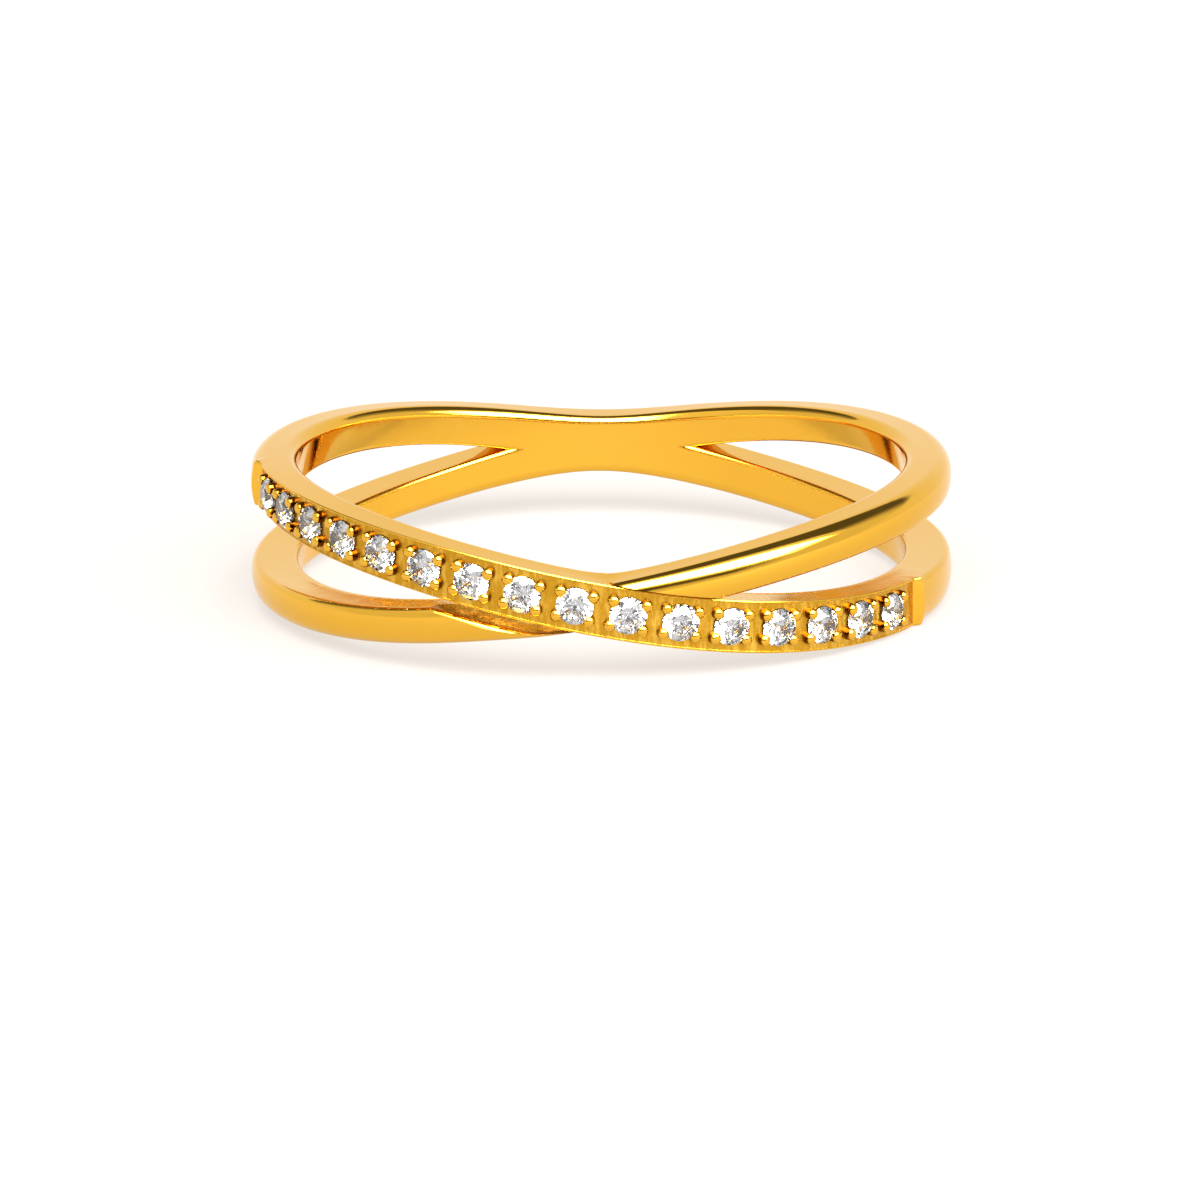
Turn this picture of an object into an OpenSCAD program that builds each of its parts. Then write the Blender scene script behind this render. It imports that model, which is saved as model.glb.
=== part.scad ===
/* [Ring] */

// diameter of the finger hole
bore_d = 17.34; // [16:0.02:20]

// thickness of the bands from the finger hole to the crown
wall = 1.33; // [1.2:0.01:1.6]

// how far the stone band swings up and down from the middle of the ring
stone_rise = 1.46; // [1.2:0.01:1.8]

// how far the plain band swings up and down from the middle of the ring
plain_rise = 1.44; // [1.2:0.01:1.8]

/* [Bands] */

// width of the stone band at the crossing
stone_band_w = 1.56; // [1.4:0.01:1.8]

// width of the plain band at the crossing
plain_band_w = 1.12; // [0.9:0.01:1.4]

// width of the stone band where it runs into the back of the ring
stone_back_w = 0.98; // [0.8:0.01:1.2]

// width of the plain band where it runs into the back of the ring
plain_back_w = 0.9; // [0.8:0.01:1.2]

// metal that fills the notch over the crossing
front_web = 0.2; // [0.05:0.01:0.3]

// metal that fills the notches over and under the back of the ring
back_web = 0.36; // [0.1:0.01:0.5]

// how far the crossing sits to the left of the middle, in degrees
lean = 2.6; // [0:0.1:5]

// radius of the rounded edge on the side away from the other band
outer_edge_r = 0.45; // [0.3:0.01:0.45]

// radius of the rounded edge on the side that faces the other band
facing_edge_r = 0.2; // [0.1:0.01:0.3]

// how much the crown rises between its rounded edges
crown_rise = 0.05; // [0.02:0.01:0.08]

// flat worn off the edges of the finger hole
hole_edge = 0.08; // [0.04:0.01:0.12]

/* [Stone row] */

// diameter of a stone
stone_d = 1.07; // [1:0.01:1.12]

// metal left between neighbouring stones
stone_gap = 0.446; // [0.42:0.01:0.55]

// distance of the middle of the row from the crossing
row_shift = -1.53; // [-2:0.1:-1]

// drop from the crown to the edges of the stone row
rim_drop = 0.22; // [0.18:0.01:0.26]

// depth of the satin floor under its edges
floor_depth = 0.08; // [0.04:0.01:0.12]

// width of the raised edges of the stone row
rim_w = 0.1; // [0.06:0.01:0.14]

// metal between the last stone and the end wall of the row
end_gap = 0.8; // [0.5:0.01:1]

// height of the girdle over the satin floor
girdle_lift = 0.05; // [0.02:0.01:0.08]

// clearance between a stone and its seat
seat_gap = 0.02; // [0.015:0.001:0.03]

/* [Prongs] */

// diameter of a prong
prong_d = 0.3; // [0.26:0.01:0.32]

// how far a prong reaches over the girdle
prong_reach = 0.075; // [0.06:0.005:0.1]

// angle of the prongs from the line of the row
prong_turn = 37; // [34:1:42]

/* [Crossing] */

// width of the groove on each side of the stone band
groove_w = 0.28; // [0.15:0.01:0.35]

// depth of the groove under the crown
groove_depth = 0.95; // [0.7:0.05:1]

/* [Colours] */

// colour of the metal
gold_tint = "#f2b632";

// colour of the stones
stone_tint = "#e8f2f6";

/* [Hidden] */

NODES = ["band", "stone_01", "stone_02", "stone_03", "stone_04",
    "stone_05", "stone_06", "stone_07", "stone_08", "stone_09",
    "stone_10", "stone_11", "stone_12", "stone_13", "stone_14",
    "stone_15", "stone_16"];

// every node but the band is a stone
stone_count = len(NODES) - 1;

bore_r = bore_d / 2;
ring_r = bore_r + wall;
rim_r = ring_r - rim_drop;
floor_r = rim_r - floor_depth;
groove_r = ring_r - groove_depth;
clear_r = ring_r + 1;

// sides of a full turn, and steps in each rounded edge
turn_steps = 88;
edge_steps = 3;

// share of the swing that flattens its top and bottom
flat_share = 0.066;

// each band as a row: rise, half widths at the front and back, and the way it swings
stone_row = [stone_rise, stone_band_w / 2, stone_back_w / 2, -1];
plain_row = [plain_rise, plain_band_w / 2, plain_back_w / 2, 1];
function rise(row) = row[0];
function front_half(row) = row[1];
function back_half(row) = row[2];
function way(row) = row[3];

// angle within the swing, which leans at the front and is even at the back
function phase(turn) = turn + lean * (1 + cos(turn)) / 2;

// height of a band's middle line at an angle from the front
function wave(turn, row) = way(row) * rise(row) / (1 - flat_share)
    * (sin(phase(turn)) + flat_share * sin(3 * phase(turn)));

// slope of that line in mm a radian
function wave_slope(turn, row) = way(row) * rise(row) / (1 - flat_share)
    * (cos(phase(turn)) + 3 * flat_share * cos(3 * phase(turn)));

// half width of a band, which narrows to the back
function half_width(turn, row) = (front_half(row) + back_half(row)) / 2
    + (front_half(row) - back_half(row)) / 2 * cos(turn);

// upper (1) or lower (-1) edge of a band
function edge(turn, row, end) = wave(turn, row) + end * half_width(turn, row);
function edge_gap(turn, end) = edge(turn, stone_row, end) - edge(turn, plain_row, end);

// metal over the higher edge that rounds the notch where two edges cross
function notch_fill(gap, web) = norm([gap / 2, web]) - abs(gap / 2);
function fill(turn, end) = notch_fill(edge_gap(turn, end),
    end > 0 ? (front_web + back_web) / 2 - (back_web - front_web) / 2 * cos(turn)
        : back_web / 2 - back_web / 2 * cos(turn));

// 1 where a band's upper edge is the outer one, -1 where it faces the other band
function outer_side(turn, row) = max(-1, min(1, 2.5 * way(row) * sin(phase(turn))));
function edge_radius(side) =
    (outer_edge_r + facing_edge_r) / 2 + (outer_edge_r - facing_edge_r) / 2 * side;

// share of the swing's way from the front (0) to the back (1)
function backness(turn) = (1 - cos(turn)) / 2;

// outline of a band across its width, as radius and height
function corner(r, middle_r, middle_z, from, to) = [for (i = [0 : edge_steps])
    let (a = from + (to - from) * i / edge_steps)
    [middle_r + r * cos(a), middle_z + r * sin(a)]];
function section(low, high, low_r, high_r, low_web, high_web, hole_r, crown_r) = concat(
    [[hole_r, low - low_web + hole_edge], [hole_r + hole_edge, low - low_web]],
    corner(low_r, ring_r - crown_rise - low_r, low + low_r, -90, 0),
    [[crown_r, (low + high + low_r - high_r) / 2]],
    corner(high_r, ring_r - crown_rise - high_r, high - high_r, 0, 90),
    [[hole_r + hole_edge, high + high_web], [hole_r, high + high_web - hole_edge]]);

// outline between two edges, with the webs of the notches: at the front they
// only line the finger hole, at the back they take the whole thickness
function webbed_section(turn, low, high, low_side, high_side, hole_r, crown_r) =
    let (back = backness(turn), low_web = fill(turn, -1), high_web = fill(turn, 1))
    section(low - back * low_web, high + back * high_web,
        edge_radius(low_side), edge_radius(high_side),
        (1 - back) * low_web, (1 - back) * high_web, hole_r, crown_r);

function at_turn(points, turn) =
    [for (p = points) [p[0] * sin(turn), -p[0] * cos(turn), p[1]]];

// solid through outlines at the given angles, closed to a ring or capped at both ends
module swept(turns, outlines, ring = false) {
    count = len(turns);
    sides = len(outlines[0]);
    points = [for (i = [0 : count - 1]) each at_turn(outlines[i], turns[i])];
    walls = [for (i = [0 : count - (ring ? 1 : 2)], k = [0 : sides - 1])
        let (a = i * sides, b = (i + 1) % count * sides, m = (k + 1) % sides)
        each [[a + k, a + m, b + k], [a + m, b + m, b + k]]];
    caps = ring ? [] : [[for (k = [sides - 1 : -1 : 0]) k],
        [for (k = [0 : sides - 1]) (count - 1) * sides + k]];
    polyhedron(points = points, faces = concat(walls, caps), convexity = 8);
}

// each body takes its own steps round the ring, so that no two bodies share a corner
function ring_turns(start) =
    [for (i = [0 : turn_steps - 1]) (i + start) * 360 / turn_steps - 180];
stone_start = 0.1;
plain_start = 0.6;
joint_start = 0.35;
groove_start = 0.85;
row_start = 0.6;

// two angles and the steps of the ring between them
function turns_between(from, to, start) =
    concat([from], [for (t = ring_turns(start)) if (t > from && t < to) t], [to]);

module whole_band(row, start) {
    turns = ring_turns(start);
    outlines = [for (t = turns)
        webbed_section(t, edge(t, row, -1), edge(t, row, 1),
            -outer_side(t, row), outer_side(t, row), bore_r, ring_r)];
    swept(turns, outlines, ring = true);
}

// outline along the stone band, wider by `extra` on each side
function strip_outline(t, extra, low_r) =
    let (low = edge(t, stone_row, -1) - extra, high = edge(t, stone_row, 1) + extra)
    [[low_r, low], [clear_r, low], [clear_r, high], [low_r, high]];

// the same down to the rims of the row, with the channel of its floor
function row_outline(t) =
    let (low = edge(t, stone_row, -1) + rim_w, high = edge(t, stone_row, 1) - rim_w)
    concat(strip_outline(t, wall, rim_r),
        [[rim_r, high], [floor_r, high], [floor_r, low], [rim_r, low]]);

// the stones stand at even distances along the stone band
girdle_r = floor_r + girdle_lift;
stone_r = stone_d / 2;
stone_pitch = stone_d + stone_gap;
first_place = row_shift - stone_pitch * (stone_count - 1) / 2;

track_step = 2;
track_turns = [for (t = [-120 : track_step : 120]) t];
function track_rate(turn) = norm([girdle_r, wave_slope(turn, stone_row)]) * PI / 180;
function track_sum(turns, i = 0, run = 0) = i >= len(turns) ? [] : concat(
    [[run, turns[i]]],
    track_sum(turns, i + 1, run + track_step * track_rate(turns[i] + track_step / 2)));
track = track_sum(track_turns);
track_zero = lookup(0, [for (row = track) [row[1], row[0]]]);

// angle at a distance along the row from the front
function turn_at(distance) = lookup(distance + track_zero, track);

stone_places = [for (i = [0 : stone_count - 1]) first_place + i * stone_pitch];
wall_turns = [
    turn_at(stone_places[0] - stone_r - end_gap),
    turn_at(stone_places[stone_count - 1] + stone_r + end_gap)];

// moves what is drawn flat, facing up, to a place on the row, facing out
module on_row(distance) {
    t = turn_at(distance);
    rotate([0, 0, t])
    translate([0, -girdle_r, wave(t, stone_row)])
    rotate([90, 0, 0])
    rotate([0, 0, atan(wave_slope(t, stone_row) / girdle_r)])
    children();
}

// round brilliant, its heights and radii as shares of its diameter
table_r = 0.285 * stone_d;
star_r = 0.405 * stone_d;
lower_r = 0.11 * stone_d;
crown_h = 0.155 * stone_d;
girdle_h = 0.03 * stone_d;
pavilion_h = 0.43 * stone_d;
half_girdle = girdle_h / 2;
sides = 8;
half_side = 180 / sides;

// the eight main facets are flat where the star and lower corners lie on their planes
star_z = half_girdle + crown_h * (stone_r - star_r * cos(half_side)) / (stone_r - table_r);
lower_z = -half_girdle - pavilion_h * (stone_r - lower_r * cos(half_side)) / stone_r;
table_z = half_girdle + crown_h;
culet_z = -half_girdle - pavilion_h;

function ring_of(count, r, z, shift = 0) =
    [for (i = [0 : count - 1]) [r * cos(i * 360 / count + shift), r * sin(i * 360 / count + shift), z]];

module cut_stone() {
    points = concat(
        ring_of(sides, table_r, table_z),
        ring_of(sides, star_r, star_z, half_side),
        ring_of(2 * sides, stone_r, half_girdle),
        ring_of(2 * sides, stone_r, -half_girdle),
        ring_of(sides, lower_r, lower_z, half_side),
        [[0, 0, culet_z]]);
    star = sides;
    upper = 2 * sides;
    under = 4 * sides;
    lower = 6 * sides;
    culet = 7 * sides;
    facets = [for (i = [0 : sides - 1])
        let (n = (i + 1) % sides, p = (i + sides - 1) % sides)
        let (g = 2 * i, h = 2 * i + 1, k = (2 * i + 2) % (2 * sides))
        each [
            [i, star + i, n],
            [i, star + p, upper + g, star + i],
            [star + i, upper + g, upper + h],
            [star + i, upper + h, upper + k],
            [upper + g, under + g, under + h, upper + h],
            [upper + h, under + h, under + k, upper + k],
            [under + g, lower + i, under + h],
            [under + h, lower + i, under + k],
            [under + g, lower + p, culet, lower + i]]];
    table = [for (i = [0 : sides - 1]) i];
    polyhedron(points = points, faces = concat([table], facets), convexity = 2);
}

// room for a stone: its outline with the clearance all round
module stone_room() {
    g = seat_gap;
    rotate_extrude($fn = 2 * sides)
    polygon([
        [0, culet_z - 2 * g],
        [lower_r + g, lower_z - g],
        [stone_r + g, -half_girdle - g],
        [stone_r + g, half_girdle + g / 2],
        [star_r + g, star_z + g],
        [table_r + g, table_z + g],
        [0, table_z + g]]);
}

// the prong tips stand level with the crown of the bands
prong_r = prong_d / 2;
prong_out = stone_r + prong_r - prong_reach;
prong_tip = ring_r - girdle_r;
prong_root = -girdle_lift - prong_r;
prong_dome = 0.33 * prong_d;
prong_flat = 0.28 * prong_d;
prong_sides = 8;

module prong() {
    hull() {
        translate([0, 0, prong_root])
        cylinder(r = prong_r, h = prong_tip - prong_dome - prong_root, $fn = prong_sides);
        translate([0, 0, prong_root])
        cylinder(r = prong_flat, h = prong_tip - prong_root, $fn = prong_sides);
    }
}

module four_prongs() {
    for (x = [-1, 1], y = [-1, 1])
        translate([x * prong_out * cos(prong_turn), y * prong_out * sin(prong_turn), 0])
        prong();
}

// open height between the facing edges of the bands, negative where they run together
function window(turn) = abs(wave(turn, stone_row) - wave(turn, plain_row))
    - half_width(turn, stone_row) - half_width(turn, plain_row)
    - backness(turn) * (fill(turn, 1) + fill(turn, -1));

// angle from the front (0) or the back (180) to the fork on either side
function fork(middle, side) =
    lookup(0, [for (u = [5 : 1 : 70]) [window(middle + side * u), u]]);

// where the bands run together: one outline over both, a hair inside their own
// faces, whose crown dips to the forks
joint_inset = 0.006;
fork_dip = facing_edge_r + crown_rise;
module joint(middle) {
    turns = [for (u = ring_turns(joint_start))
        if (u > -fork(middle, -1) && u < fork(middle, 1)) middle + u];
    outlines = [for (t = turns)
        let (low = min(edge(t, stone_row, -1), edge(t, plain_row, -1)))
        let (high = max(edge(t, stone_row, 1), edge(t, plain_row, 1)))
        let (side = abs(outer_side(t, stone_row)))
        let (u = (t - middle) / fork(middle, sign(t - middle)))
        webbed_section(t, low + joint_inset, high - joint_inset, side, side,
            bore_r + joint_inset, ring_r - joint_inset - fork_dip * u * u)];
    swept(turns, outlines);
}

// the stone band keeps its own room through the plain band, with a groove on each side
groove_turns = turns_between(-fork(0, -1) - 15, fork(0, 1) + 15, groove_start);
module plain_band() {
    difference() {
        union() {
            whole_band(plain_row, plain_start);
            joint(0);
        }
        swept(groove_turns, [for (t = groove_turns) strip_outline(t, groove_w, groove_r)]);
    }
}

row_turns = turns_between(wall_turns[0], wall_turns[1], row_start);
module stone_band() {
    difference() {
        whole_band(stone_row, stone_start);
        swept(row_turns, [for (t = row_turns) row_outline(t)]);
    }
}

// the ring stands on its lowest edge
lowest = min([for (t = ring_turns(stone_start))
    min(edge(t, stone_row, -1), edge(t, plain_row, -1)) - fill(t, -1)]);

module band() {
    color(gold_tint)
    translate([0, 0, -lowest])
    difference() {
        union() {
            plain_band();
            stone_band();
            joint(180);
            for (s = stone_places)
                on_row(s)
                four_prongs();
        }
        for (s = stone_places)
            on_row(s)
            stone_room();
    }
}

module stone(place) {
    color(stone_tint)
    translate([0, 0, -lowest])
    on_row(stone_places[place - 1])
    cut_stone();
}

band();
stone(1);  // stone_01
stone(2);  // stone_02
stone(3);  // stone_03
stone(4);  // stone_04
stone(5);  // stone_05
stone(6);  // stone_06
stone(7);  // stone_07
stone(8);  // stone_08
stone(9);  // stone_09
stone(10);  // stone_10
stone(11);  // stone_11
stone(12);  // stone_12
stone(13);  // stone_13
stone(14);  // stone_14
stone(15);  // stone_15
stone(16);  // stone_16
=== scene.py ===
import cmath
import math
import random

import bmesh
import bpy
import numpy as np
from mathutils import Matrix, Vector

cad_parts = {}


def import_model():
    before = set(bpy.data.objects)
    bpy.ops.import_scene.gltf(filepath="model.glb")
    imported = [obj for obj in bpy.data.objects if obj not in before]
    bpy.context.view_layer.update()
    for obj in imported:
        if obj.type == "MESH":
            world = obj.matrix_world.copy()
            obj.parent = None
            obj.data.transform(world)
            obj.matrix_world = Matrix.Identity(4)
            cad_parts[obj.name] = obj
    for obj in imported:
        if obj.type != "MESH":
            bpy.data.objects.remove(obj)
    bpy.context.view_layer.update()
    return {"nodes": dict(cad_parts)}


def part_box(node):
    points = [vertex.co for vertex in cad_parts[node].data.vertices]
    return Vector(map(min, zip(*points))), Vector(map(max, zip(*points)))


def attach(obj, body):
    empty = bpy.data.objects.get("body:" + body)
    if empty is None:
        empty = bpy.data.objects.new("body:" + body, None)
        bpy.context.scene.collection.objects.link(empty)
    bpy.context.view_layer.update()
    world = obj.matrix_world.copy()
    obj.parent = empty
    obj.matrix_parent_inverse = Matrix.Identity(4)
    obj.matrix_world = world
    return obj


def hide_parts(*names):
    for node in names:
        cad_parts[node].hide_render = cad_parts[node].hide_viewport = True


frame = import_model()
scene = bpy.context.scene
mm = 0.001
weldReach = 2e-7    # metres
quarter = math.pi / 2

# the ring's own sizes in millimetres and degrees, as its solids have them
ringShape = {
    "boreRadius": 8.67,
    "wall": 1.33,
    "lean": 2.6,            # the crossing sits to the left of the middle
    "flatShare": 0.066,     # flattens the top and bottom of each swing
    "turnover": 2.5,        # how fast the bands change their outer sides beside a crossing
    "outerEdge": 0.45,      # rounding away from the other band
    "facingEdge": 0.2,      # rounding towards the other band
    "crispEdge": 0.05,      # rounding of the stone band beside its stones
    "outerHoleEdge": 0.3,
    "facingHoleEdge": 0.12,
    "recess": 0.004,        # of the plain band's faces, where the bands cross
    "recessReach": (30, 10),
    "crownTilt": 14,        # slope of the crown where it meets its rounded edges
    "crownFit": 0.999,      # leaves a hair between the crown and its rounded edges
    "frontWeb": 0.16,
    "backWeb": 0.36,
    "stations": 400,        # sections round the ring
    "shoulderSteps": 12,
    "crownSteps": 12,
    "holeSteps": 9,
    "webReach": 0.78,       # how far out from the finger hole the web starts
    "webShares": (0, 0.3, 0.6, 1),
    "joinedFine": 6,        # finer steps, from which the joined outline takes its points
    "valleyClosed": (0.6, 0.3),     # overlap of the bands where the valley has run out
    "sag": 0.09,            # the plain band is a little wider below the crossing
    "sagPlace": -6,         # degrees of turn
    "sagReach": 10,
    "support": 0.02,        # loops beside each rounding, which keep the flats flat
}
stoneBand = {"rise": 1.46, "front": 0.78, "back": 0.49, "way": -1}
plainBand = {"rise": 1.44, "front": 0.56, "back": 0.45, "way": 1}

boreRadius = ringShape["boreRadius"]
ringRadius = boreRadius + ringShape["wall"]
crownTilt = math.radians(ringShape["crownTilt"])
clearRadius = ringRadius + 1    # past all metal


def backness(turn):
    return (1 - math.cos(turn)) / 2


def phaseAt(turn):
    return turn + math.radians(ringShape["lean"]) * (1 - backness(turn))


def waveAt(turn, band):
    share = ringShape["flatShare"]
    swing = math.sin(phaseAt(turn)) + share * math.sin(3 * phaseAt(turn))
    return band["way"] * band["rise"] / (1 - share) * swing


def slopeAt(turn, band):
    share = ringShape["flatShare"]
    swing = math.cos(phaseAt(turn)) + 3 * share * math.cos(3 * phaseAt(turn))
    return band["way"] * band["rise"] / (1 - share) * swing


def edgeAt(turn, band, end):
    half = band["front"] + (band["back"] - band["front"]) * backness(turn)
    if band is plainBand and end < 0:
        away = (math.degrees(turn) - ringShape["sagPlace"]) / ringShape["sagReach"]
        half += ringShape["sag"] * math.exp(-away ** 2)
    return waveAt(turn, band) + end * half


def webAt(turn, end, share=1):
    # metal that rounds the notch where two edges cross
    gap = abs(edgeAt(turn, stoneBand, end) - edgeAt(turn, plainBand, end)) / 2
    web = ringShape["backWeb"] * backness(turn)
    if end > 0:
        web += ringShape["frontWeb"] * (1 - backness(turn))
    return math.hypot(gap, web * share) - gap


def sideFace(turn, end, edge, recess=0):
    # from the crown in to the finger hole, where the front's web is at its highest
    front = 1 - backness(turn)
    return [complex(boreRadius + recess + ringShape["webReach"] * (1 - share),
                    edge + end * front * webAt(turn, end, share)) for share in ringShape["webShares"]]


def outerSide(turn, band):
    return max(-1, min(1, ringShape["turnover"] * band["way"] * math.sin(phaseAt(turn))))


def edgeRadius(side, outer="outerEdge", facing="facingEdge"):
    # side goes from -1, towards the other band, to 1, away from it
    outer, facing = ringShape[outer], ringShape[facing]
    return (outer + facing) / 2 + (outer - facing) / 2 * side


def smooth(x):
    x = max(0, min(1, x))
    return x * x * (3 - 2 * x)


# outlines are drawn as complex numbers: radius from the finger hole's axis + height * 1j
def fillet(before, corner, after, radius, steps):
    toward = (before - corner) / abs(before - corner)
    onward = (after - corner) / abs(after - corner)
    half = abs(cmath.phase(onward / toward)) / 2
    centre = corner + (toward + onward) / abs(toward + onward) * radius / math.sin(half)
    start = corner + toward * radius / math.tan(half) - centre
    end = corner + onward * radius / math.tan(half) - centre
    sweep = cmath.phase(end / start)
    return [centre + start * cmath.exp(1j * sweep * i / steps) for i in range(steps + 1)]


def supports(a, b):
    step = (b - a) / abs(b - a) * min(ringShape["support"], abs(b - a) / 3)
    return [a + step, b - step]


def sectionRuns(lowFace, highFace, crownEdges, holeEdges, fine=1):
    # crown and its two rounded edges, then the face to the finger hole, both from low to high
    low, high = lowFace[0].imag, highFace[0].imag
    reach = [r / math.tan((quarter + crownTilt) / 2) for r in crownEdges]
    apexHeight = (low + high + (reach[0] - reach[1]) * math.cos(crownTilt)) / 2
    crownRadius = ((high - low) / 2 / math.cos(crownTilt) - sum(reach) / 2) / math.tan(crownTilt)
    apex = complex(ringRadius + crownRadius * (1 / math.cos(crownTilt) - 1), apexHeight)
    lowCorner = complex(apex.real - math.tan(crownTilt) * (apexHeight - low), low)
    highCorner = complex(apex.real - math.tan(crownTilt) * (high - apexHeight), high)
    steps = ringShape["shoulderSteps"] * fine
    outer = fillet(lowFace[0], lowCorner, apex, crownEdges[0], steps)
    outer += fillet(lowCorner, apex, highCorner, crownRadius * ringShape["crownFit"],
                    ringShape["crownSteps"] * fine)[1:-1]
    outer += fillet(apex, highCorner, highFace[0], crownEdges[1], steps)
    steps = ringShape["holeSteps"] * fine
    lowRound = fillet(lowFace[-2], lowFace[-1], highFace[-1], holeEdges[0], steps)
    highRound = fillet(lowFace[-1], highFace[-1], highFace[-2], holeEdges[1], steps)
    inner = lowRound + supports(lowRound[-1], highRound[0]) + highRound
    return outer, inner, lowFace[:-1], highFace[:-1]


def closeOutline(outer, inner, lowFace, highFace):
    return (outer + supports(outer[-1], highFace[0])[:1] + highFace + inner[::-1]
            + lowFace[::-1] + supports(lowFace[0], outer[0])[1:])


def holeEdgesAt(side):
    return [edgeRadius(s, "outerHoleEdge", "facingHoleEdge") for s in (-side, side)]


def edgeRadii(turn, band):
    # beside the row of stones the band's edges are crisp
    side = outerSide(turn, band)
    radii = [edgeRadius(-side), edgeRadius(side)]
    if band is stoneBand and abs(turn) < quarter:
        crisp = smooth(1 + (turn - rowEnds[0]) / rowFade) * smooth(1 + (rowEnds[1] - turn) / rowFade)
        radii = [r + (ringShape["crispEdge"] - r) * crisp for r in radii]
    return radii


def bandRuns(turn, band, fine=1):
    back = backness(turn)
    start, reach = ringShape["recessReach"]
    crossing = 1 - smooth((abs(math.degrees(turn)) - start) / reach)
    recess = ringShape["recess"] * crossing if band is plainBand else 0
    faces = [sideFace(turn, end, edgeAt(turn, band, end) + end * back * webAt(turn, end), recess)
             for end in (-1, 1)]
    return sectionRuns(*faces, edgeRadii(turn, band), holeEdgesAt(outerSide(turn, band)), fine)


def windowAt(turn):
    # open height between the bands, negative where they run together
    lower, upper = sorted((stoneBand, plainBand), key=lambda band: waveAt(turn, band))
    back = backness(turn)
    return (edgeAt(turn, upper, -1) - back * webAt(turn, -1)
            - edgeAt(turn, lower, 1) - back * webAt(turn, 1))


def forkTurn(start, end):
    # halves the way between a joined and an open place
    halvings = 40
    for _ in range(halvings):
        middle = (start + end) / 2
        if windowAt(middle) < 0:
            start = middle
        else:
            end = middle
    return (start + end) / 2


def spaced(start, end):
    # turns from start to end, as close as the ring's sections
    count = max(1, round(abs(end - start) / (2 * math.pi) * ringShape["stations"]))
    return [start + (end - start) * i / count for i in range(count + 1)]


# height of the ring's middle over the floor that it lies on
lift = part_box("band")[1].z / mm - max(
    max(edgeAt(t, band, 1) for band in (stoneBand, plainBand)) + webAt(t, 1)
    for t in spaced(-math.pi, math.pi))


def onRing(point, turn):
    return Vector((point.real * math.sin(turn), -point.real * math.cos(turn), point.imag + lift)) * mm


# shader maths as Python expressions
class Value:
    def __init__(self, look, socket):
        self.look = look
        self.socket = socket

    def __add__(self, other):
        return self.look.maths("ADD", self, other)

    def __sub__(self, other):
        return self.look.maths("SUBTRACT", self, other)

    def __rsub__(self, other):
        return self.look.maths("SUBTRACT", other, self)

    def __mul__(self, other):
        return self.look.maths("MULTIPLY", self, other)

    def __pow__(self, other):
        return self.look.maths("POWER", self, other)

    __radd__ = __add__
    __rmul__ = __mul__


class Look:
    def __init__(self, name, tree=None):
        if tree is None:
            self.material = bpy.data.materials.new(name)
            self.material.use_nodes = True
            tree = self.material.node_tree
        self.tree = tree
        self.tree.nodes.clear()

    def node(self, kind, settings=None, out=0, **sockets):
        node = self.tree.nodes.new(kind)
        for key, value in (settings or {}).items():
            setattr(node, key, value)
        for key, value in sockets.items():
            socket = node.inputs[int(key[1:]) if key[1:].isdigit() else key.replace("_", " ")]
            if isinstance(value, Value):
                self.tree.links.new(value.socket, socket)
            else:
                socket.default_value = value
        return Value(self, node.outputs[out]) if node.outputs else None

    def maths(self, operation, a, b=0):
        return self.node("ShaderNodeMath", {"operation": operation}, i0=a, i1=b)

    def mix(self, share, a, b):
        return self.node("ShaderNodeMix", {"data_type": "RGBA"}, 2, i0=share, i6=a, i7=b)

    def noise(self, place, scale, detail=2.0, roughness=0.5):
        return self.node("ShaderNodeTexNoise", Vector=place, Scale=scale, Detail=detail,
                         Roughness=roughness)

    def band(self, value, low, high, top=1.0):
        # climbs from 0 at low to top at high
        return self.node("ShaderNodeMapRange", {"interpolation_type": "SMOOTHSTEP"},
                         Value=value, From_Min=low, From_Max=high, To_Min=0.0, To_Max=top)


def newObject(name, vertices, faces, materials=(), slotOf=None):
    mesh = bpy.data.meshes.new(name)
    mesh.from_pydata([tuple(v) for v in vertices], [], faces)
    for material in materials:
        mesh.materials.append(material)
    if slotOf:
        mesh.polygons.foreach_set("material_index", slotOf)
    mesh.update()
    piece = bpy.data.objects.new(name, mesh)
    scene.collection.objects.link(piece)
    return piece


def sweepFaces(rows, count, offset=0):
    # quads between neighbouring rows of a closed outline
    return [(offset + r * count + k, offset + r * count + (k + 1) % count,
             offset + (r + 1) * count + (k + 1) % count, offset + (r + 1) * count + k)
            for r in range(rows - 1) for k in range(count)]


def sweep(name, turns, outlines, materials, slotOf=None):
    count = len(outlines[0])
    vertices = [onRing(p, t) for t, outline in zip(turns, outlines) for p in outline]
    faces = sweepFaces(len(turns), count)
    faces.append(tuple(range(count - 1, -1, -1)))
    faces.append(tuple((len(turns) - 1) * count + k for k in range(count)))
    return newObject(name, vertices, faces, materials, slotOf)


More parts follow.
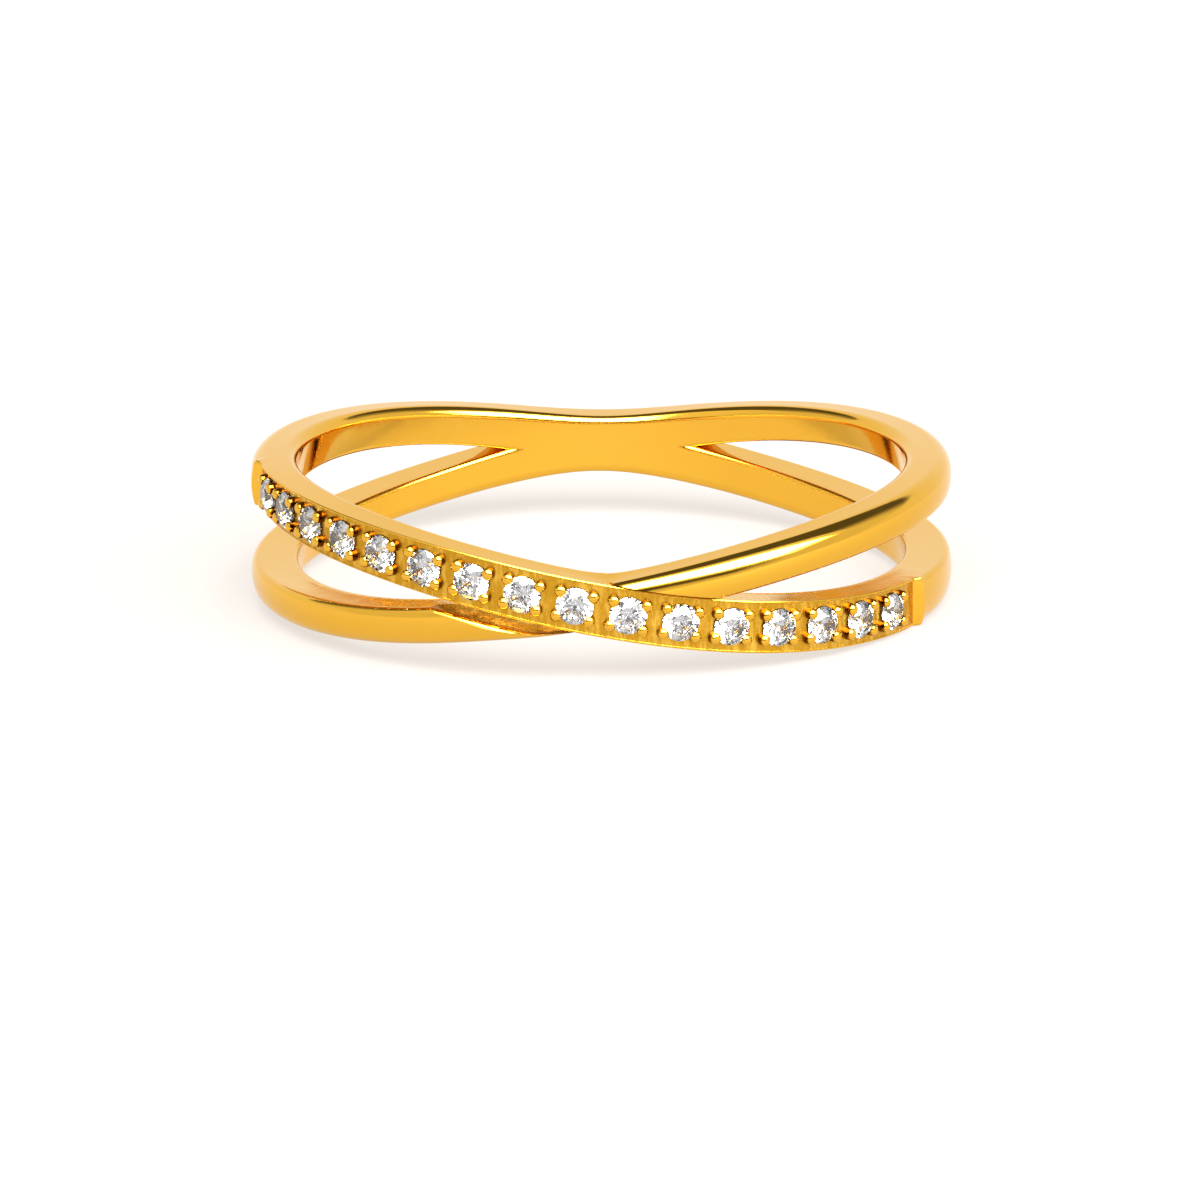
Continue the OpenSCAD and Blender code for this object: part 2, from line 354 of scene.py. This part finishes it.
def joinedOutline(turn):
    # one outline over both bands, with the valley between them that closes away from the fork
    lower, upper = sorted((stoneBand, plainBand), key=lambda band: waveAt(turn, band))
    fine = ringShape["joinedFine"]
    overlap = max(0, -windowAt(turn))
    back = backness(turn)
    low = min(edgeAt(turn, lower, -1), edgeAt(turn, upper, -1)) - back * webAt(turn, -1)
    high = max(edgeAt(turn, lower, 1), edgeAt(turn, upper, 1)) + back * webAt(turn, 1)
    side = abs(outerSide(turn, stoneBand))
    holeEdge = edgeRadius(side, "outerHoleEdge", "facingHoleEdge")
    single = sectionRuns(sideFace(turn, -1, low), sideFace(turn, 1, high),
                         [edgeRadius(side)] * 2, [holeEdge] * 2, fine)
    runs = []
    for which, kept in enumerate((ringShape["shoulderSteps"], ringShape["holeSteps"] + 1)):
        lowLine, highLine = (np.array(bandRuns(turn, band, fine)[which]) for band in (lower, upper))
        lowest, highest = (np.imag(bandRuns(turn, band)[which]) for band in (lower, upper))
        one = np.array(single[which])
        valley = (lowest[-1] + highest[0]) / 2
        # the rounded edges keep their points, those between close up towards the valley
        near, far = lowest[kept], highest[-1 - kept]
        lowest[kept:] = near + (lowest[kept:] - near) * (valley - near) / (lowest[-1] - near)
        highest[:-kept] = far + (highest[:-kept] - far) * (valley - far) / (highest[0] - far)
        heights = np.concatenate([lowest, highest[1:]])
        heights = np.interp(heights, [heights[0], valley, heights[-1]],
                            [one[0].imag, valley, one[-1].imag])
        both = np.concatenate([lowLine[lowLine.imag < valley], highLine[highLine.imag > valley]])
        share = smooth(overlap / ringShape["valleyClosed"][which])
        radii = ((1 - share) * np.interp(heights, both.imag, both.real)
                 + share * np.interp(heights, one.imag, one.real))
        runs.append([complex(r, h) for r, h in zip(radii, heights)])
    return closeOutline(*runs, *single[2:])


def weld(mesh, wanted):
    # says how many edges stay open or badly joined
    work = bmesh.new()
    work.from_mesh(mesh)
    bmesh.ops.remove_doubles(work, verts=[v for v in work.verts if wanted(v.co)], dist=weldReach)
    badEdges = sum(not edge.is_contiguous for edge in work.edges)
    work.to_mesh(mesh)
    work.free()
    return badEdges


def backMetal():
    # from the side of the ring over the back to the other side: two arms that run together
    forks = [forkTurn(math.pi, quarter), forkTurn(math.pi, 3 * quarter)]
    vertices, faces, forkRows = [], [], []

    def addRows(turns, outlines):
        faces.extend(sweepFaces(len(turns), len(outlines[0]), len(vertices)))
        vertices.extend(onRing(p, t) for t, outline in zip(turns, outlines) for p in outline)

    for turns, fork in ((spaced(quarter, forks[0]), -1), (spaced(forks[1], 3 * quarter), 0)):
        rows = [sorted((bandRuns(t, band) for band in (stoneBand, plainBand)),
                       key=lambda runs: runs[0][0].imag) for t in turns]
        lower, upper = rows[fork]
        # at the fork both bands end in one line
        for run in (0, 1):
            lower[run][-1] = upper[run][0] = (lower[run][-1] + upper[run][0]) / 2
        lower[3][:] = upper[2][:] = [(a + b) / 2 for a, b in zip(lower[3], upper[2])]
        for which in (0, 1):
            addRows(turns, [closeOutline(*row[which]) for row in rows])
        outer, inner = (lower[run] + upper[run][1:] for run in (0, 1))
        forkRows.append(closeOutline(outer, inner, lower[2], upper[3]))
    turns = spaced(*forks)
    outlines = [joinedOutline(t) for t in turns]
    outlines[0], outlines[-1] = forkRows
    addRows(turns, outlines)
    piece = newObject("backMetal", vertices, faces)
    weld(piece.data, lambda place: True)
    return piece


# the row of stones in millimetres and degrees
stoneRow = {
    "stone": 1.07,
    "rimDrop": 0.22,
    "floorDepth": 0.08,
    "rimWidth": 0.06,
    "rimSlope": 0.5,        # of the upper rim, which leans up
    "endGap": 0.8,
    "wallSlant": 0.8,       # degrees of turn over which the end walls rise
    "girdleLift": 0.05,
    "seatGap": 0.02,
    "rimOuterEdge": 0.03,
    "rimOuterSteps": 5,
    "rimInnerEdge": 0.02,
    "rimInnerShare": 0.4,   # of the rim's height, where that is little
    "rimInnerSteps": 4,
    "lowRim": 0.015,        # the lower rim stands this much over the floor
    "fade": 3,              # degrees past the end walls, where the band's edges turn round
    "seatSides": 32,
}
rimRadius = ringRadius - stoneRow["rimDrop"]
floorRadius = rimRadius - stoneRow["floorDepth"]
girdleRadius = floorRadius + stoneRow["girdleLift"]
stoneNames = sorted(name for name in frame["nodes"] if name.startswith("stone_"))


def turnOf(node):
    # a stone's lowest point stands on its own line, nearest to the finger hole's axis
    places = (v.co for v in frame["nodes"][node].data.vertices)
    culet = min(places, key=lambda place: math.hypot(place.x, place.y))
    return math.atan2(culet.x, -culet.y)


stoneTurns = [turnOf(name) for name in stoneNames]


def alongRow(turn, distance):
    # the turn at a distance along the stone band's middle line
    steps = 50
    for _ in range(steps):
        turn += distance / steps / math.hypot(girdleRadius, slopeAt(turn, stoneBand))
    return turn


endReach = stoneRow["stone"] / 2 + stoneRow["endGap"]
rowEnds = [alongRow(stoneTurns[0], -endReach), alongRow(stoneTurns[-1], endReach)]
rowFade = math.radians(stoneRow["fade"])


def placeOnRow(turn):
    # flat work facing +Z goes to the row, facing out
    slope = math.atan(slopeAt(turn, stoneBand) / girdleRadius)
    place = Matrix.Translation(onRing(complex(girdleRadius, waveAt(turn, stoneBand)), turn))
    return (place @ Matrix.Rotation(turn, 4, "Z") @ Matrix.Rotation(quarter, 4, "X")
            @ Matrix.Rotation(slope, 4, "Z"))


def revolve(profile, sides):
    # vertices and faces of a closed turned body, from its lowest point to its highest
    vertices = [Vector((0, 0, profile[0][1])), Vector((0, 0, profile[-1][1]))]
    rings = profile[1:-1]
    for radius, height in rings:
        vertices += [Vector((radius * math.cos(a), radius * math.sin(a), height))
                     for a in (2 * math.pi * k / sides for k in range(sides))]
    last = len(rings) - 1

    def first(r, k):
        return 2 + r * sides + k % sides

    faces = [(0, first(0, k + 1), first(0, k)) for k in range(sides)]
    faces += [(first(r, k), first(r, k + 1), first(r + 1, k + 1), first(r + 1, k))
              for r in range(last) for k in range(sides)]
    faces += [(1, first(last, k), first(last, k + 1)) for k in range(sides)]
    return vertices, faces


def joinParts(name, parts, material):
    vertices, faces = [], []
    for points, corners in parts:
        faces += [tuple(len(vertices) + c for c in face) for face in corners]
        vertices += points
    return newObject(name, vertices, faces, [material])


def numberFaces(piece, number):
    # remembers which body a face comes from
    numbers = piece.data.attributes.new("body", "INT", "FACE")
    numbers.data.foreach_set("value", [number] * len(piece.data.polygons))


def combine(piece, tool, operation):
    change = piece.modifiers.new("change", "BOOLEAN")
    change.operation = operation
    change.solver = "MANIFOLD"
    change.material_mode = "TRANSFER"
    change.object = tool
    view = bpy.context.evaluated_depsgraph_get()
    changed = bpy.data.meshes.new_from_object(piece.evaluated_get(view))
    piece.modifiers.clear()
    piece.data = changed
    bpy.data.objects.remove(tool)


# room that the stone band keeps in the plain band
grooveShape = {
    "above": 0.06,
    "below": 0.28,
    "belowShare": 0.6,      # of what shows of the plain band, where that is little
    "depth": 0.5,
    "beyondFork": 15,       # degrees
    "edge": 0.2,            # rounding of the plain band along the lower groove
    "edgeSteps": 8,
    "edgeTurn": 70,
}


def grooveCutter(forks):
    beyond = math.radians(grooveShape["beyondFork"])
    turns = spaced(forks[0] - beyond, forks[1] + beyond)
    floor = ringRadius - grooveShape["depth"]
    edge, steps = grooveShape["edge"], grooveShape["edgeSteps"]
    arc = [math.radians(grooveShape["edgeTurn"]) * k / steps for k in range(steps + 1)]
    outlines = []
    for t in turns:
        high = edgeAt(t, stoneBand, 1) + grooveShape["above"]
        shown = edgeAt(t, stoneBand, -1) - edgeAt(t, plainBand, -1)
        width = min(grooveShape["below"], grooveShape["belowShare"] * shown)
        low = edgeAt(t, stoneBand, -1) - max(-edge, width)
        rounded = [complex(ringRadius - edge * (1 - math.sin(a)), low - edge * (1 - math.cos(a)))
                   for a in arc]
        rounded.append(rounded[-1] + complex(math.cos(arc[-1]), -math.sin(arc[-1])))
        outlines.append([complex(floor, high), complex(clearRadius, high)] + rounded[::-1]
                        + [complex(floor, low)])
    # satin floor and walls, polished rounding
    satin = (0, len(outlines[0]) - 1, len(outlines[0]) - 2)
    slots = [int(k in satin) for _ in turns[1:] for k in range(len(outlines[0]))] + [0, 0]
    return sweep("grooveCutter", turns, outlines, [gold, grooveGold], slots)


def rowRun(turn, count):
    # rim, wall and satin floor of the row, in place of the crown
    middle = waveAt(turn, stoneBand) * 1j
    width, steps = stoneRow["rimWidth"], stoneRow["rimInnerSteps"]
    halves = []
    for end, radius, slope in ((-1, floorRadius + stoneRow["lowRim"], 0),
                               (1, rimRadius, stoneRow["rimSlope"])):
        edge = edgeAt(turn, stoneBand, end) * 1j
        inside = edge - end * 1j * width
        corner, rim, foot = radius - slope * width + edge, radius + inside, floorRadius + inside
        half = fillet(corner - stoneRow["rimDrop"], corner, rim, stoneRow["rimOuterEdge"],
                      stoneRow["rimOuterSteps"])
        innerEdge = min(stoneRow["rimInnerEdge"], stoneRow["rimInnerShare"] * (radius - floorRadius))
        half += fillet(corner, rim, foot, innerEdge, steps)
        half += fillet(rim, foot, floorRadius + middle, innerEdge, steps)
        half.append(supports(half[-1], floorRadius + middle)[0])
        halves.append(half)
    low, high = halves
    fill = count - len(low) - len(high)
    between = [low[-1] + (high[-1] - low[-1]) * k / (fill + 1) for k in range(1, fill + 1)]
    return low + between + high[::-1]


def stoneSweep():
    # full section, then the row of stones between its two end walls, then full section again
    slant = math.radians(stoneRow["wallSlant"])
    stretches = [spaced(-quarter, rowEnds[0] - slant), spaced(*rowEnds),
                 spaced(rowEnds[1] + slant, quarter)]
    # satin from the lower rim to the foot of the upper rim
    lowPoints = stoneRow["rimOuterSteps"]
    highPoints = stoneRow["rimOuterSteps"] + 2 * stoneRow["rimInnerSteps"] + 3
    outlines, slots = [], []
    for number, turns in enumerate(stretches):
        for t in turns:
            outer, *others = bandRuns(t, stoneBand)
            if number == 1:
                outer = rowRun(t, len(outer))
            outlines.append(closeOutline(outer, *others))
        satin = range(lowPoints, len(outer) - highPoints) if number == 1 else ()
        slots += [int(k in satin) for _ in turns[1:] for k in range(len(outlines[0]))]
        if number < 2:
            slots += [0] * len(outlines[0])
    return sweep("stoneMetal", sum(stretches, []), outlines, [gold, satinGold], slots + [0, 0])


prongShape = {
    "width": 0.34,
    "reach": 0.12,          # over the stone's girdle
    "turn": 37,             # degrees from the band's run to a prong, seen from the stone
    "drop": 0.06,           # from the crown of the bands to the tips
    "root": 0.2,            # below the girdle
    "foot": 1.04,           # times the width, from where it narrows to the tip
    "tip": 0.94,
    "dome": 0.08,
    "domePower": 3,         # a higher power makes the tip flatter
    "domeShares": (1, 0.92, 0.84, 0.75, 0.65, 0.5, 0.3, 0),
    "sides": 20,
    "spread": 0.05,         # how far sizes and heights vary
    "seed": 7,
}


def prongs():
    radius = prongShape["width"] / 2
    out = stoneRow["stone"] / 2 + radius - prongShape["reach"]
    height = ringRadius - girdleRadius - prongShape["drop"]
    root, dome, power = prongShape["root"], prongShape["dome"], prongShape["domePower"]
    angle = math.radians(prongShape["turn"])
    rng = random.Random(prongShape["seed"])
    parts = []
    for turn in stoneTurns:
        place = placeOnRow(turn)
        for x, y in ((1, 1), (-1, 1), (-1, -1), (1, -1)):
            size = radius * (1 + prongShape["spread"] * rng.uniform(-1, 1))
            top = height * (1 - prongShape["spread"] * rng.uniform(0, 1))
            foot, tip = size * prongShape["foot"], size * prongShape["tip"]
            profile = [(0, -root), (foot, -root), (foot, -stoneRow["girdleLift"])]
            profile += [(tip * share, top - dome * share ** power)
                        for share in prongShape["domeShares"]]
            points, faces = revolve(profile, prongShape["sides"])
            stand = Vector((x * out * math.cos(angle), y * out * math.sin(angle), 0))
            parts.append(([place @ ((p + stand) * mm) for p in points], faces))
    return joinParts("prongs", parts, prongGold)


# radius and height as shares of the stone, as it is cut, and how many gaps its seat is higher
stoneCut = {
    "culet": (0, -0.445, -2),
    "lower": (0.11, -0.358, -1),
    "girdleBottom": (0.5, -0.015, -1),
    "girdleTop": (0.5, 0.015, 0.5),
    "star": (0.405, 0.106, 1),
    "table": (0.285, 0.17, 1),
}


def seats():
    # each stone's outline with the clearance all round
    stone, gap = stoneRow["stone"], stoneRow["seatGap"]
    profile = [(radius * stone + (gap if radius else 0), height * stone + shift * gap)
               for radius, height, shift in stoneCut.values()]
    profile.append((0, profile[-1][1]))
    parts = []
    for turn in stoneTurns:
        place = placeOnRow(turn)
        points, faces = revolve(profile, stoneRow["seatSides"])
        parts.append(([place @ (p * mm) for p in points], faces))
    return joinParts("seats", parts, gold)


def frontMetal():
    turns = spaced(-quarter, quarter)
    forks = [forkTurn(0, -quarter), forkTurn(0, quarter)]
    stone = stoneSweep()
    plain = sweep("plainMetal", turns, [closeOutline(*bandRuns(t, plainBand)) for t in turns], [gold])
    changes = [(plain, grooveCutter(forks), "DIFFERENCE"), (stone, plain, "UNION"),
               (stone, prongs(), "UNION"), (stone, seats(), "DIFFERENCE")]
    numberFaces(stone, 0)
    for number, (_, tool, _) in enumerate(changes, 1):
        numberFaces(tool, number)
    for piece, tool, operation in changes:
        combine(piece, tool, operation)
    return stone


# colours are linear, scales are those of the noise in metres
goldFinish = {
    "light": (0.78, 0.44, 0.05, 1),
    "deep": (0.75, 0.405, 0.038, 1),
    "cloud": 300.0,
    "edgeTint": (1, 0.96, 0.86, 1),
    "wear": 1400.0,
    "wearRange": (0.3, 0.7),
    "wearDepth": 0.00002,
    # painted dark reflection: dark brown on the prongs' sides, in place of the dark surroundings they
    # would mirror
    "prongSidePaintedDark": (0.16, 0.07, 0.006, 1),
    "prongPaintedDarkFade": (0.1, 0.04),       # millimetres below the tips, over which the painted dark reflection on the sides fades into plain gold
}


def goldLook(name, roughness, wearStrength, paintedDarkSides=False):
    # polished gold with faint marks of wear, which show in its reflections
    look = Look(name)
    place = look.node("ShaderNodeTexCoord", out=3)
    cloud = look.noise(place, goldFinish["cloud"])
    wear = look.noise(place, goldFinish["wear"], 4.0, 0.6)
    colour = look.mix(cloud, goldFinish["light"], goldFinish["deep"])
    # painted dark reflection: below their tips the prongs' sides turn dark brown, standing in for the
    # dark they would mirror
    if paintedDarkSides:
        x, y = (look.node("ShaderNodeSeparateXYZ", out=k, Vector=place) for k in (0, 1))
        radius = (x * x + y * y) ** 0.5
        tip = ringRadius - prongShape["drop"]
        low, high = ((tip - depth) * mm for depth in goldFinish["prongPaintedDarkFade"])
        colour = look.mix(look.band(radius, low, high), goldFinish["prongSidePaintedDark"], colour)
    low, high = goldFinish["wearRange"]
    rough = look.node("ShaderNodeMapRange", Value=wear, From_Min=low, From_Max=high,
                      To_Min=roughness[0], To_Max=roughness[1])
    bump = look.node("ShaderNodeBump", Height=wear, Strength=wearStrength,
                     Distance=goldFinish["wearDepth"])
    surface = look.node("ShaderNodeBsdfPrincipled", Base_Color=colour, Metallic=1.0, Roughness=rough,
                        Specular_Tint=goldFinish["edgeTint"], Normal=bump)
    look.node("ShaderNodeOutputMaterial", Surface=surface)
    return look.material


satinFinish = {
    "grain": 14000.0,
    "grainRange": (0.3, 0.7),
    "streaks": 6000.0,
    "streakRange": (0.42, 0.68),
    "streakShare": 2,       # of the streaks in the relief, against the grain
    "depth": 0.00001,
    "strength": 0.35,
    "roughness": 0.22,
    "roughnessSpread": 0.16,
}


def satinLook(name, deep, light, stretch):
    # fine grain, with lighter streaks that are long where the stretch is small
    look = Look(name)
    place = look.node("ShaderNodeTexCoord", out=3)
    grain = look.noise(place, satinFinish["grain"], 4.0)
    drawn = look.node("ShaderNodeMapping", Vector=place, Scale=stretch)
    streaks = look.noise(drawn, satinFinish["streaks"], 3.0, 0.6)
    colour = look.mix(look.band(streaks, *satinFinish["streakRange"]), deep, light)
    bump = look.node("ShaderNodeBump", Height=grain + satinFinish["streakShare"] * streaks,
                     Strength=satinFinish["strength"], Distance=satinFinish["depth"])
    rough = look.band(grain, *satinFinish["grainRange"], satinFinish["roughnessSpread"])
    surface = look.node("ShaderNodeBsdfPrincipled", Base_Color=colour, Metallic=1.0,
                        Roughness=rough + satinFinish["roughness"], Normal=bump)
    look.node("ShaderNodeOutputMaterial", Surface=surface)
    return look.material


stoneFinish = {"colour": (0.5, 0.51, 0.54, 1), "roughness": 0.0, "index": 2.1}


def stoneLook():
    look = Look("clearStone")
    surface = look.node("ShaderNodeBsdfPrincipled", Base_Color=stoneFinish["colour"],
                        Roughness=stoneFinish["roughness"], IOR=stoneFinish["index"],
                        Transmission_Weight=1.0)
    look.node("ShaderNodeOutputMaterial", Surface=surface)
    return look.material


gold = goldLook("polishedGold", (0.05, 0.12), 0.12)
# the prongs' gold has a painted dark reflection on its sides
prongGold = goldLook("prongGold", (0.03, 0.06), 0.0, paintedDarkSides=True)
satinGold = satinLook("satinGold", (0.49, 0.25, 0.016, 1), (0.68, 0.4, 0.055, 1), (1, 1, 0.22))
grooveGold = satinLook("grooveGold", (0.32, 0.175, 0.024, 1), (0.6, 0.37, 0.08, 1), (0.15, 1, 1))
clearStone = stoneLook()
print("materials ready")

back = backMetal()
front = frontMetal()
print("metal parts ready")


# degrees between two faces, over which their edge is drawn sharp
metalFinish = {"sharpEdge": 28, "sharpMeeting": 4}


def sharpen(mesh):
    # edges are sharp where they are steep, and sooner where two bodies or two finishes meet
    work = bmesh.new()
    work.from_mesh(mesh)
    body = work.faces.layers.int["body"]
    for face in work.faces:
        face.smooth = True
    for edge in work.edges:
        bodies = {(face[body], face.material_index) for face in edge.link_faces}
        limit = metalFinish["sharpMeeting"] if len(bodies) > 1 else metalFinish["sharpEdge"]
        edge.smooth = edge.calc_face_angle(math.pi) < math.radians(limit)
    work.to_mesh(mesh)
    work.free()


def joinMetal():
    # the front's cut ends lie on the plane between front and back and are taken off
    def onPlane(place):
        return abs(place.y) < weldReach

    mesh = bmesh.new()
    mesh.from_mesh(front.data)
    ends = [f for f in mesh.faces if all(onPlane(v.co) for v in f.verts)]
    bmesh.ops.delete(mesh, geom=ends, context="FACES")
    mesh.from_mesh(back.data)
    whole = front.data
    mesh.to_mesh(whole)
    mesh.free()
    print("metal has", len(whole.polygons), "faces and", weld(whole, onPlane), "bad edges")
    sharpen(whole)
    bpy.data.objects.remove(back)
    front.name = whole.name = "goldBand"
    return front


goldBand = joinMetal()
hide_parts("band")
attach(goldBand, "root")

for name in stoneNames:
    for slot in frame["nodes"][name].material_slots:
        slot.material = clearStone

# lengths in metres
studio = {
    "floorReach": 0.6,
    "floorDrop": 1e-5,
    "floorSides": 64,
    "floorColour": (0.034, 0.034, 0.034, 1),
    "floorGlow": (0.75, 0.7, 0.655, 1),
    "floorRoughness": 0.9,
    "cameraDistance": 0.4,
    "cameraHeight": 14.63,  # degrees over the floor
    "cameraRoll": -0.446,
    "photoSide": 1200,      # pixels, as the next two
    "focal": 14006.6,
    "shift": (-1.25, -79.93),
    "sensor": 36,           # millimetres
    "clip": (0.01, 10),
}


def floorSheet():
    reach, sides = studio["floorReach"], studio["floorSides"]
    angles = (2 * math.pi * k / sides for k in range(sides))
    vertices = [Vector((reach * math.cos(a), reach * math.sin(a), -studio["floorDrop"])) for a in angles]
    look = Look("paleFloor")
    surface = look.node("ShaderNodeBsdfPrincipled", Base_Color=studio["floorColour"],
                        Roughness=studio["floorRoughness"], Emission_Color=studio["floorGlow"],
                        Emission_Strength=1.0)
    look.node("ShaderNodeOutputMaterial", Surface=surface)
    sheet = newObject("floor", vertices, [tuple(range(sides))], [look.material])


def camera():
    side = studio["photoSide"]
    data = bpy.data.cameras.new("camera")
    eye = bpy.data.objects.new("camera", data)
    scene.collection.objects.link(eye)
    height = math.radians(studio["cameraHeight"])
    middle = Vector((0, 0, lift * mm))
    eye.location = middle + studio["cameraDistance"] * Vector((0, -math.cos(height), math.sin(height)))
    turned = (Matrix.Rotation(quarter - height, 3, "X")
              @ Matrix.Rotation(math.radians(studio["cameraRoll"]), 3, "Z"))
    eye.rotation_euler = turned.to_euler()
    data.sensor_width = studio["sensor"]
    data.lens = studio["sensor"] * studio["focal"] / side
    data.shift_x, data.shift_y = (shift / side for shift in studio["shift"])
    data.clip_start, data.clip_end = studio["clip"]
    scene.camera = eye


# the room as bands of light over an arc: degrees from the front horizon over the top to the back
room = {
    "colour": (1, 0.985, 0.96, 1),
    "level": 1.0,
    "dark": 0.12,
    "darkFront": (7, 19),
    "soft": 1.2,            # between the dark front and the softbox
    "softbox": (30, 80),
    "softboxLight": 26.0,
    "softboxSides": (-30, -15, 45, 62),     # degrees to the right, over which it fades in and out
    "darkBack": (96, 142),
    "paleBack": 1.12,       # from the dark back on
    "paleEnd": 200,
    "sides": (35, 65),      # degrees to either side, over which the bands fade out
    "edge": 4,              # softness of the bands
}


def world():
    studioWorld = bpy.data.worlds.new("studio")
    studioWorld.use_nodes = True
    scene.world = studioWorld
    look = Look("studio", studioWorld.node_tree)
    place = look.node("ShaderNodeTexCoord", out=0)
    x, y, z = (look.node("ShaderNodeSeparateXYZ", out=k, Vector=place) for k in range(3))
    arc = look.maths("ARCTAN2", z, 0 - y) * math.degrees(1)
    right = look.maths("ARCSINE", x) * math.degrees(1)
    middle = 1 - look.band(look.maths("ABSOLUTE", right), *room["sides"])
    half = room["edge"] / 2

    def strip(low, high):
        return look.band(arc, low - half, low + half) - look.band(arc, high - half, high + half)

    dark = strip(*room["darkFront"]) + strip(*room["darkBack"])
    soft = strip(room["darkFront"][1], room["darkBack"][0])
    sides = room["softboxSides"]
    bright = strip(*room["softbox"]) * look.band(right, *sides[:2]) * (1 - look.band(right, *sides[2:]))
    pale = strip(room["darkBack"][1], room["paleEnd"])
    level = room["level"]
    light = (level + middle * (dark * (room["dark"] - level) + soft * (room["soft"] - level))
             + pale * (room["paleBack"] - level) + bright * (room["softboxLight"] - level))
    background = look.node("ShaderNodeBackground", Color=room["colour"], Strength=light)
    look.node("ShaderNodeOutputWorld", Surface=background)


floorSheet()
camera()
world()
scene.view_settings.view_transform = "Standard"
print("studio ready")
